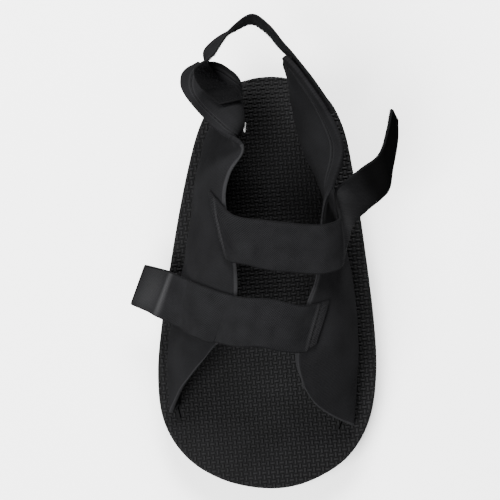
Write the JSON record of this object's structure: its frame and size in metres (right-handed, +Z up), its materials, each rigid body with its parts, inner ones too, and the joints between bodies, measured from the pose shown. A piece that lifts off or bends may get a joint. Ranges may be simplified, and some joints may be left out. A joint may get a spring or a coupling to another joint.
{
  "type": "post operative shoe",
  "caption": "Open-toed post operative shoe with a thick flat sole, a soft black upper and hook-and-loop straps over the ball, the instep and round the heel.",
  "frame": {"origin": "middle of the sole's underside, in the plane that the shoe stands on", "axes": "+Z up, the toe points to -Y and the heel to +Y, and +X is the side that the shoe's own right panel is on"},
  "size_m": [0.152, 0.2654, 0.0976],
  "materials": {
    "eva_outsole": "matt closed-cell foam",
    "eva_footbed": "matt closed-cell foam with a moulded weave pattern",
    "laminated_foam_fabric": "brushed loop fabric on thin foam",
    "instep_strap_webbing": "woven tape with loop pile at its end",
    "forefoot_strap_webbing": "woven tape",
    "heel_strap_webbing": "woven tape with a pile face"
  },
  "bodies": {
    "root": {"outsole": "eva_outsole", "footbed": "eva_footbed", "upper": "laminated_foam_fabric", "instep_strap": "instep_strap_webbing", "forefoot_strap": "forefoot_strap_webbing", "heel_strap": "heel_strap_webbing"}
  },
  "joints": []
}
